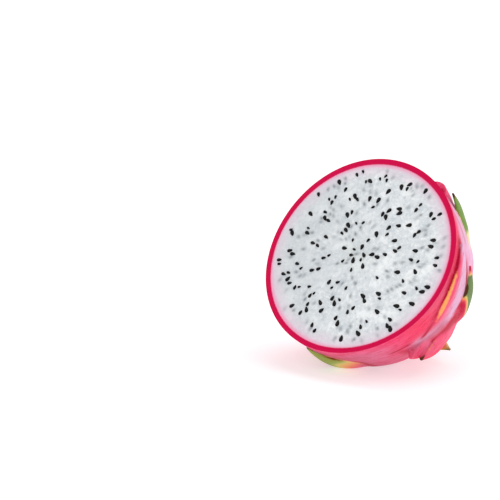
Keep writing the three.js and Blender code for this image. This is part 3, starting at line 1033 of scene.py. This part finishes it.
def skin_notes(side, scales, along, turn):
    """What the paint of the skin needs: painted shade, in deep red, in the creases under and beside
    the scales and along grooves, and a little ripening where a scale grows out of it."""
    crease, ripe = np.zeros_like(along), np.zeros_like(along)
    for traits in scales:
        share, x = near_scale(side, traits, along, turn)
        half = blade_half_width(traits["width"], np.clip(share, -ROOT_SHARE, 1))
        # Painted shade on the skin under each scale, fading out beside and past it
        beside = np.maximum(np.abs(x) - 0.95, 0) * half
        past = np.maximum(share - 1, 0) * traits["length"]
        near = np.exp(-np.hypot(beside, past) / 1.5) * smooth(0.1, 0.35, share) * traits["shade"]
        crease = np.maximum(crease, near)
        grown = scale_notes(traits, np.clip(share, -ROOT_SHARE, 1), np.clip(x, -1, 1), True)
        ripe = np.maximum(ripe, grown["ripe"] * (1 - smooth(0.9, 1.1, np.abs(x))) * (share < 0.5))
    # Parts of the fruit have more waxy bloom and painted sheen on them, and one is redder
    bloom = around(turn, 28, 24) + 0.4 * around(turn, -78, 28)
    bloom = bloom * smooth(0.5, 7, along) * (1 - smooth(25, 50, along))
    for line in LILAC_BANDS:
        bloom = bloom + band(along, turn, *line)
    flush = around(turn, -28, 26) * (1 - smooth(14, 34, along))
    flush = np.maximum(flush, around(turn, 6, 28) * (1 - smooth(4, 10, along)))
    # Painted shade along the grooves beside the scales
    for line in SHADE_BANDS:
        crease = np.maximum(crease, band(along, turn, *line))
    # Painted shade, in deep red, next to the cut on one side and where the fruit lies on the floor
    crease = np.maximum(crease, 0.4 * around(turn, 0, 26) * (1 - smooth(0, 6, along)))
    crease = np.maximum(crease, 0.55 * around(turn, -94, 26) * smooth(1, 8, along))
    return dict(
        crease=crease, ripe=ripe, bloom=bloom, flush=flush, ribs=np.full_like(along, 0.5)
    )


def body_piece(side, scales):
    """The whole body of the fruit with a flat cut, solid."""
    rows_before = [0.0, 0.5, 0.85, 0.935, 0.95, 0.965, 0.98, 0.993]  # shares of the cut's radius
    side_rows = int(side.total / SKIN_STEP)
    rows = len(rows_before) + side_rows

    def place(u, v):
        turn = 2 * math.pi * u
        row = np.rint(v * rows).astype(int)
        along = np.clip((row - len(rows_before)) / side_rows, 0, 1) * side.total
        points = side.over(along, turn, skin_height(side, scales, along, turn))
        flat = row < len(rows_before)
        share = np.array(rows_before + [1.0])[np.clip(row, 0, len(rows_before))]
        rim = side.over(np.zeros_like(turn), turn, np.zeros_like(turn))
        points[flat] = (rim * share[:, None])[flat]
        points[row == rows] = (0, 0, -side.length)
        return points

    return wrapped_grid("body", SKIN_COLUMNS, rows, place)


def hollow_piece(side):
    """What is cut out of the skin: the body's form inside it, with a straight neck in front."""
    neck, rows = 10, 44

    def place(u, v):
        turn = 2 * math.pi * u
        along = v * (side.total + 2 * neck) - 2 * neck
        points = side.over(np.maximum(along, -neck), turn, np.zeros_like(turn))
        cap = along < -neck
        points[cap, :2] *= np.clip((along[cap] + 2 * neck) / neck, 0, 1)[:, None]
        points[v > 1 - 1e-6] = (0, 0, -side.length)
        return points + INSIDE_SHIFT

    return wrapped_grid("hollow", 192, rows, place)


TRIM = -0.02  # where a scale ends that reaches past the cut


def trim_at_cut(piece):
    """Cuts a piece off at the plane of the cut and closes it there."""
    lean = fruit_to_world()
    middle = lean @ Vector((0, 0, TRIM)) * MM
    with editing(piece):
        bpy.ops.mesh.bisect(
            plane_co=middle, plane_no=lean.to_3x3() @ Vector((0, 0, 1)), use_fill=True,
            clear_outer=True,
        )
        bpy.ops.mesh.select_all(action="SELECT")
        bpy.ops.mesh.quads_convert_to_tris()


def scale_piece(side, traits, name):
    """One leafy scale with rounded edges, a pointed tip and a root that is sunk in the skin."""

    def spread(u, v):
        share = lerp(-ROOT_SHARE, 1, 1 - (1 - v) ** 1.25)
        top = u < 0.5
        w = np.where(top, 4 * u - 1, 3 - 4 * u)
        x = np.sin(w * math.pi / 2)
        z = 0.5 * np.sqrt(np.maximum(1 - np.abs(x) ** 6, 0)) * np.where(top, 1, -1)
        return share, x, z

    def place(u, v):
        share, x, z = spread(u, v)
        closed = np.where((v < 1e-6) | (v > 1 - 1e-6), 0.0, 1.0)
        return blade_points(side, traits, share, x * closed, z * closed)

    def notes(u, v):
        share, x, z = spread(u, v)
        return scale_notes(traits, share, x, z >= 0)

    scale = wrapped_grid(name, SCALE_COLUMNS, SCALE_ROWS, place, notes)
    if in_fruit(corners(scale))[:, 2].max() > TRIM:
        trim_at_cut(scale)
    return scale


def stem_dimple(side):
    """A ball that cuts the dimple round the stem."""
    radius = (DIMPLE_RADIUS**2 + DIMPLE_DEPTH**2) / (2 * DIMPLE_DEPTH)
    clear_selection()
    bpy.ops.mesh.primitive_uv_sphere_add(segments=96, ring_count=160, radius=radius * MM)
    ball = bpy.context.object
    centre = np.array([0, 0, DIMPLE_DEPTH - side.length - radius])
    set_corners(ball, in_world(corners(ball) / MM + centre))
    return ball


def block_under_table():
    """A block under the table, larger than the fruit, to trim the flat spot with."""
    clear_selection()
    bpy.ops.mesh.primitive_cube_add(size=0.26, location=(0, 0, -0.13))
    bpy.ops.object.transform_apply(location=True, rotation=False, scale=False)
    return bpy.context.object


NOTES = ("ripe", "grey", "margin", "rust", "dry", "crease", "bloom", "flush", "ribs")
FRESH_NOTES = {"flush": 0.5, "ribs": 0.5}  # where the knife has cut a scale: plain red


def from_axis(points):
    """How far points of the fruit's own frame are from its axis, its unevenness taken out."""
    turn = np.arctan2(points[:, 1], points[:, 0])
    return np.hypot(points[:, 0], points[:, 1]) / unevenness(turn)


def seam_weights(skin, gap, side, inside):
    """How much to soften each corner of the skin, from its gap to the corners that the pieces
    had. The seams are where the joins made new corners, on the outside, away from the cut, the
    stem end and the table."""
    world = corners(skin)
    height, depth = world[:, 2] / MM, -in_fruit(world)[:, 2]
    wall = from_axis(in_fruit(world)) - np.interp(depth, inside.depth, inside.r)
    on_seam = (gap > 0.004 * MM) & (depth > 0.5) & (depth < side.length - 4)
    on_seam &= (wall > 1) & (height > 0.1)
    _, from_seam = nearest_of(skin, world[on_seam])
    weights = (1 - smooth(0.6, 2.6, from_seam / MM)) * smooth(0.3, 2.5, depth)
    return weights * smooth(0.5, 1.2, wall) * smooth(0.1, 1, height)


def soften_seams(skin, weights):
    """Rounds the skin where scales grow out of it, as far as the weights at its corners."""
    group = skin.vertex_groups.new(name="seams")
    for i in np.nonzero(weights > 0.01)[0]:
        group.add([int(i)], float(weights[i]), "REPLACE")
    take(skin)
    modifier = skin.modifiers.new("soften", "SMOOTH")
    modifier.vertex_group = group.name
    modifier.factor = 0.5
    modifier.iterations = 7
    bpy.ops.object.modifier_apply(modifier=modifier.name)
    skin.vertex_groups.clear()


class FRUIT_OT_skin(Operator):
    """Make the skin with its leafy scales"""

    bl_idname = "fruit.skin"
    bl_label = "Skin and scales"

    def execute(self, context):
        sizes, colours = context.scene.fruit_sizes, context.scene.fruit_colours
        side = Side(sizes.cut_radius / MM, sizes.half_length / MM)
        inside = Side(sizes.cut_radius / MM, sizes.half_length / MM, sizes.skin_thickness / MM)
        scales = [scale_traits(n, sizes.scale_count) for n in range(sizes.scale_count)]
        skin = body_piece(side, scales)
        points = in_fruit(corners(skin))
        along = np.interp(-points[:, 2], side.depth, side.along)
        turn = np.arctan2(points[:, 1], points[:, 0])
        sources = [(corners(skin), skin_notes(side, scales, along, turn))]
        combine(skin, stem_dimple(side), "DIFFERENCE")
        for n, traits in enumerate(scales):
            scale = scale_piece(side, traits, f"scale_{n}")
            sources.append((corners(scale), {name: noted(scale, name) for name in NOTES}))
            combine(skin, scale, "UNION")
        hollow = hollow_piece(inside)
        sources.append((corners(hollow), {}))
        combine(skin, hollow, "DIFFERENCE")
        combine(skin, block_under_table(), "DIFFERENCE")
        merge_slivers(skin, SLIVER * MM)

        nearest, gap = nearest_of(skin, np.concatenate([s[0] for s in sources]))
        weights = seam_weights(skin, gap, side, inside)
        points = in_fruit(corners(skin))
        fresh = (points[:, 2] > 2 * TRIM) & (from_axis(points) > side.radius + 0.8)
        soften_seams(skin, weights)
        for name in NOTES:
            values = np.concatenate([s[1].get(name, np.zeros(len(s[0]))) for s in sources])
            values = spread_over(skin, values[nearest], weights, 6)
            note(skin, name, np.where(fresh, FRESH_NOTES.get(name, 0), values))

        low, high = (np.array(corner) for corner in CAD_BOX)
        edge = 0.01 * MM
        set_corners(skin, np.clip(corners(skin), low + edge * (low < 0), high - edge))
        points = in_fruit(corners(skin)) - INSIDE_SHIFT
        note(skin, "from_pulp", from_axis(points) - inside.radius)
        skin.data.materials.clear()
        skin.data.materials.append(skin_paint(colours))
        skin.data.materials.append(rind_paint(colours))
        rind = (points[:, 2] > 2 * TRIM) & ~fresh
        for face in skin.data.polygons:
            face.material_index = int(all(rind[i] for i in face.vertices))
        smooth_faces(skin, 42)
        skin.name = skin.data.name = "fruit_skin"
        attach(skin, BODY)
        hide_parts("skin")
        return {"FINISHED"}


class FRUIT_OT_stub(Operator):
    """Make the stub of the stem in its dimple"""

    bl_idname = "fruit.stub"
    bl_label = "Stem stub"

    def execute(self, context):
        sizes, colours = context.scene.fruit_sizes, context.scene.fruit_colours
        end = sizes.half_length / MM
        deep = STUB_LENGTH + DIMPLE_DEPTH
        clear_selection()
        bpy.ops.mesh.primitive_cylinder_add(
            vertices=48, radius=STUB_RADIUS * 0.86 * MM, depth=deep * MM, end_fill_type="NGON"
        )
        stub = bpy.context.object
        stub.name = stub.data.name = "stem_stub"
        with editing(stub):
            bpy.ops.mesh.subdivide(number_cuts=5, smoothness=0)
        co = corners(stub) / MM
        # The cut end looks to -Z. It has a sunken pith, and the sides are ribbed and flare
        # where they meet the skin.
        angle = np.arctan2(co[:, 1], co[:, 0])
        r = np.hypot(co[:, 0], co[:, 1])
        low = (deep / 2 - co[:, 2]) / deep  # 0 in the fruit, 1 at the cut end
        ribs = 1 + 0.05 * np.cos(6 * angle + 0.4) + 0.02 * np.cos(17 * angle)
        flare = 1 + 0.13 * (1 - low) ** 2 - 0.04 * smooth(0.9, 1.0, low)
        co[:, :2] *= np.minimum(ribs * flare, 1.15)[:, None]
        at_end = low > 1 - 1e-4
        co[at_end, 2] += 0.5 * (1 - smooth(0, 0.8, r[at_end] / STUB_RADIUS))
        co[:, 2] += DIMPLE_DEPTH - end - deep / 2 + 1
        set_corners(stub, in_world(co))
        note(stub, "cut", at_end.astype(float))
        take(stub)
        bevel = stub.modifiers.new("worn edge", "BEVEL")
        bevel.width = 0.25 * MM
        bevel.segments = 2
        bevel.limit_method = "ANGLE"
        bevel.angle_limit = math.radians(50)
        bpy.ops.object.modifier_apply(modifier=bevel.name)
        with editing(stub):
            bpy.ops.mesh.normals_make_consistent(inside=False)
        smooth_faces(stub, 45)
        stub.data.materials.append(stem_paint(colours))
        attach(stub, BODY)
        return {"FINISHED"}


def seed_places():
    """Where the seeds lie in the cut: rings round the heart, then small groups outwards."""
    draw = draw_from(DRAW_START)
    places = []

    def spread():
        return draw() + draw() - 1

    def add_seed(x, y):
        if math.hypot(x, y) > SEEDS_TO:
            return
        if any(math.hypot(s[0] - x, s[1] - y) < SEED_CLEARANCE for s in places):
            return
        angle = math.atan2(y, x) + math.radians(SEED_SWAY) * spread()
        places.append((x, y, angle, lerp(SMALLEST_SEED, LARGEST_SEED, draw())))

    for ring_radius, count in HEART_RINGS:
        for i in range(count):
            angle = ((i + 0.5 * draw()) / count) * 2 * math.pi
            radius = ring_radius + 1.2 * (draw() - 0.5)
            add_seed(radius * math.cos(angle), radius * math.sin(angle))
    for k in range(GROUP_COUNT):
        share = (k + 0.5) / GROUP_COUNT
        radius = math.sqrt(lerp(SEEDS_FROM**2, SEEDS_TO**2, share))
        angle = math.radians(GOLDEN_TURN * k)
        members = 2 + math.floor(3.2 * draw())
        for _ in range(members):
            out = radius + GROUP_SPREAD * spread()
            aside = GROUP_SPREAD * spread()
            add_seed(
                out * math.cos(angle) - aside * math.sin(angle),
                out * math.sin(angle) + aside * math.cos(angle),
            )
    return places


def ghost_places(seeds):
    """Seeds just under the cut, which show through the pulp as grey shapes."""
    draw = draw_from(DRAW_START + 7)
    places = []
    for _ in range(GHOST_TRIES):
        radius, angle = GHOSTS_TO * math.sqrt(draw()), 2 * math.pi * draw()
        x, y = radius * math.cos(angle), radius * math.sin(angle)
        swing, depth = 1.2 * (draw() - 0.5), draw()
        if all(math.hypot(s[0] - x, s[1] - y) > GHOST_CLEARANCE for s in seeds):
            places.append((x, y, angle + swing, depth))
    return places


def pulp_dips(x, y, seeds):
    """How far the pulp's face lies under the cut: low waves, and a dip round each seed."""
    dip = 0.05 + 0.035 * np.sin(x * 0.7 + 1) * np.sin(y * 0.6) + 0.03 * np.sin(x * 1.9 - y * 1.3)
    for seed_x, seed_y, _, _ in seeds:
        dip = dip + 0.16 * np.exp(-((x - seed_x) ** 2 + (y - seed_y) ** 2) / 1.7)
    return dip


def ghost_shapes(points, ghosts):
    """How strongly the seeds under the cut show at points, fainter and more blurred the deeper
    they lie."""
    shown = np.zeros(len(points))
    for x, y, angle, depth in ghosts:
        dx, dy = points[:, 0] - x, points[:, 1] - y
        far = dx * math.cos(angle) + dy * math.sin(angle)
        off = -dx * math.sin(angle) + dy * math.cos(angle)
        shape = np.exp(-((far / 1.15) ** 2 + (off / 0.72) ** 2) / lerp(0.75, 1.5, depth))
        shown = np.maximum(shown, shape * lerp(1.0, 0.35, depth))
    return np.where(points[:, 2] > -1, shown, 0)


class FRUIT_OT_pulp(Operator):
    """Make the pulp that fills the skin"""

    bl_idname = "fruit.pulp"
    bl_label = "Pulp"

    def execute(self, context):
        sizes, colours = context.scene.fruit_sizes, context.scene.fruit_colours
        inset = sizes.skin_thickness / MM + PULP_CLEARANCE
        side = Side(sizes.cut_radius / MM, sizes.half_length / MM, inset)
        seeds = seed_places()
        face_rows, side_rows = 96, 40
        rows = face_rows + side_rows

        def place(u, v):
            turn = 2 * math.pi * u
            row = np.rint(v * rows)
            share = np.clip(row / face_rows, 0, 1)
            along = np.clip((row - face_rows) / side_rows, 0, 1) * side.total
            points = side.over(along, turn, np.zeros_like(turn))
            flat = row < face_rows
            points[flat] *= share[flat][:, None]
            points[row == rows] = (0, 0, -side.length)
            points = points + INSIDE_SHIFT
            dip = pulp_dips(points[:, 0], points[:, 1], seeds) * (1 - smooth(0.96, 1, share))
            points[:, 2] -= np.where(flat, dip, 0)
            return points

        pulp = wrapped_grid("fruit_pulp", 300, rows, place)
        note(pulp, "ghost", ghost_shapes(in_fruit(corners(pulp)), ghost_places(seeds)))
        smooth_faces(pulp, 40)
        pulp.data.materials.append(pulp_paint(colours, sizes))
        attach(pulp, BODY)
        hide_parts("pulp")
        return {"FINISHED"}


def seed_form(ball, half_length, half_width):
    """A ball drawn out to a seed, narrow at the end that points to the heart."""
    x, y, z = ball.T
    rise = np.where(z > 0, SEED_RISE, SEED_ROOT)
    return np.stack(
        [x * half_length, y * half_width * (0.76 + 0.3 * x), z * rise * (0.9 + 0.1 * x)], -1
    )


def turned_and_moved(points, angle, x, y, z):
    """Points turned about the fruit's axis by an angle in radians, and then moved."""
    cos, sin = math.cos(angle), math.sin(angle)
    return np.stack(
        [
            points[:, 0] * cos - points[:, 1] * sin + x,
            points[:, 0] * sin + points[:, 1] * cos + y,
            points[:, 2] + z,
        ],
        -1,
    )


class FRUIT_OT_seeds(Operator):
    """Make the seeds in the cut"""

    bl_idname = "fruit.seeds"
    bl_label = "Seeds"

    def execute(self, context):
        sizes, colours = context.scene.fruit_sizes, context.scene.fruit_colours
        clear_selection()
        bpy.ops.mesh.primitive_uv_sphere_add(segments=10, ring_count=8, radius=1)
        first = bpy.context.object
        ball = corners(first)[:, [2, 0, 1]]  # the poles at the seed's two ends
        form = seed_form(ball, sizes.seed_length / MM / 2, sizes.seed_width / MM / 2)
        draw = draw_from(DRAW_START + 3)
        pieces = []
        for n, (x, y, angle, size) in enumerate(seed_places()):
            seed = first.copy()
            seed.data = first.data.copy()
            seed.name = f"seed_{n}"
            context.scene.collection.objects.link(seed)
            sunk = SEED_SINK + SEED_SINK_VARIES * draw() ** 2
            spot = turned_and_moved(form * (size, size, 1), angle, x, y, -sunk)
            set_corners(seed, in_world(spot))
            pieces.append(seed)
        bpy.data.objects.remove(first)
        take(pieces[0])
        for seed in pieces:
            seed.select_set(True)
        bpy.ops.object.join()
        seeds = bpy.context.object
        seeds.name = seeds.data.name = "fruit_seeds"
        with editing(seeds):
            bpy.ops.mesh.normals_make_consistent(inside=False)
        bpy.ops.object.shade_smooth()
        seeds.data.materials.append(seed_paint(colours))
        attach(seeds, BODY)
        return {"FINISHED"}


# ---- The stage ----------------------------------------------------------------------------

# The camera: its turn round the cut's middle, its rise and its distance from it, how far it
# then looks aside and up, and its lens
VIEW_TURN = 31.447
VIEW_RISE = 12.0
VIEW_DISTANCE = 550
VIEW_YAW = 4.915
VIEW_PITCH = -0.129
LENS, SENSOR_WIDTH = 91.907, 36


def add_wide_light(name, source, strength, spread):
    """Even light from far away, soft because it comes from a wide patch of the studio."""
    clear_selection()
    bpy.ops.object.light_add(type="SUN", location=source)
    lamp = bpy.context.object
    lamp.name = name
    lamp.data.energy = strength
    lamp.data.angle = math.radians(spread)
    lamp.rotation_euler = (-Vector(source)).to_track_quat("-Z", "Y").to_euler()


def add_softbox(name, source, target, size, power):
    """Light from a panel near the fruit."""
    clear_selection()
    bpy.ops.object.light_add(type="AREA", location=source)
    lamp = bpy.context.object
    lamp.name = name
    lamp.data.shape = "RECTANGLE"
    lamp.data.size, lamp.data.size_y = size
    lamp.data.energy = power
    aim = Vector(target) - Vector(source)
    lamp.rotation_euler = aim.to_track_quat("-Z", "Y").to_euler()


def add_camera():
    """A camera that looks at the cut from the front right, and a little aside of it."""
    turn, rise = math.radians(VIEW_TURN), math.radians(VIEW_RISE)
    back = Vector((
        math.sin(turn) * math.cos(rise), -math.cos(turn) * math.cos(rise), math.sin(rise)
    ))
    cut_middle = Vector((0, -CUT_FORWARD, CUT_HEIGHT)) * MM
    bpy.ops.object.camera_add(location=cut_middle + back * VIEW_DISTANCE * MM)
    camera = bpy.context.object
    camera.name = "camera"
    yaw, pitch = math.radians(VIEW_YAW), math.radians(VIEW_PITCH)
    away = Matrix.Rotation(yaw, 3, "Z") @ back
    right = Vector((0, 0, 1)).cross(away).normalized()
    up = away.cross(right)
    away, up = (
        away * math.cos(pitch) + up * math.sin(pitch),
        up * math.cos(pitch) - away * math.sin(pitch),
    )
    camera.rotation_euler = Matrix((right, up, away)).transposed().to_euler()
    camera.data.lens = LENS
    camera.data.sensor_width = SENSOR_WIDTH
    camera.data.clip_start, camera.data.clip_end = 0.01, 20
    return camera


class FRUIT_OT_stage(Operator):
    """Make the floor, the soft lights and the camera"""

    bl_idname = "fruit.stage"
    bl_label = "Floor, lights and camera"

    def execute(self, context):
        colours = context.scene.fruit_colours
        clear_selection()
        bpy.ops.mesh.primitive_plane_add(size=60, location=(0, 0, 0))
        floor = bpy.context.object
        floor.name = "floor"
        floor.data.materials.append(floor_paint(colours))

        world = bpy.data.worlds.new("studio")
        world.use_nodes = True
        background = world.node_tree.nodes["Background"]
        background.inputs["Color"].default_value = (1, 1, 1, 1)
        background.inputs["Strength"].default_value = 0.45
        context.scene.world = world
        add_wide_light("key_light", (-0.35, -0.75, 0.75), 0.75, 50)
        add_wide_light("fill_light", (0.9, -0.45, 0.35), 0.36, 60)
        add_wide_light("top_light", (0.1, 0.5, 1.0), 1.4, 60)
        add_softbox("side_light", (0.62, 0.66, 0.2), (0, 0, 0.04), (0.25, 0.5), 3.0)
        context.scene.camera = add_camera()
        context.scene.view_settings.view_transform = "Standard"
        return {"FINISHED"}


class FRUIT_PT_panel(Panel):
    """Lists what makes the halved fruit"""

    bl_idname = "FRUIT_PT_panel"
    bl_label = "Halved dragon fruit"
    bl_space_type = "VIEW_3D"
    bl_region_type = "UI"
    bl_category = "Fruit"

    def draw(self, context):
        layout = self.layout
        for group in (context.scene.fruit_sizes, context.scene.fruit_colours):
            box = layout.box()
            for name in group.__annotations__:
                box.prop(group, name)
        for operator in OPERATORS:
            layout.operator(operator.bl_idname)


OPERATORS = (FRUIT_OT_skin, FRUIT_OT_stub, FRUIT_OT_pulp, FRUIT_OT_seeds, FRUIT_OT_stage)
CLASSES = (FruitSizes, FruitColours, *OPERATORS, FRUIT_PT_panel)


def register():
    for cls in CLASSES:
        bpy.utils.register_class(cls)
    bpy.types.Scene.fruit_sizes = PointerProperty(type=FruitSizes)
    bpy.types.Scene.fruit_colours = PointerProperty(type=FruitColours)


def unregister():
    del bpy.types.Scene.fruit_colours
    del bpy.types.Scene.fruit_sizes
    for cls in reversed(CLASSES):
        bpy.utils.unregister_class(cls)


def main():
    register()
    bpy.ops.fruit.skin()
    bpy.ops.fruit.stub()
    bpy.ops.fruit.pulp()
    bpy.ops.fruit.seeds()
    bpy.ops.fruit.stage()


if __name__ == "__main__":
    main()
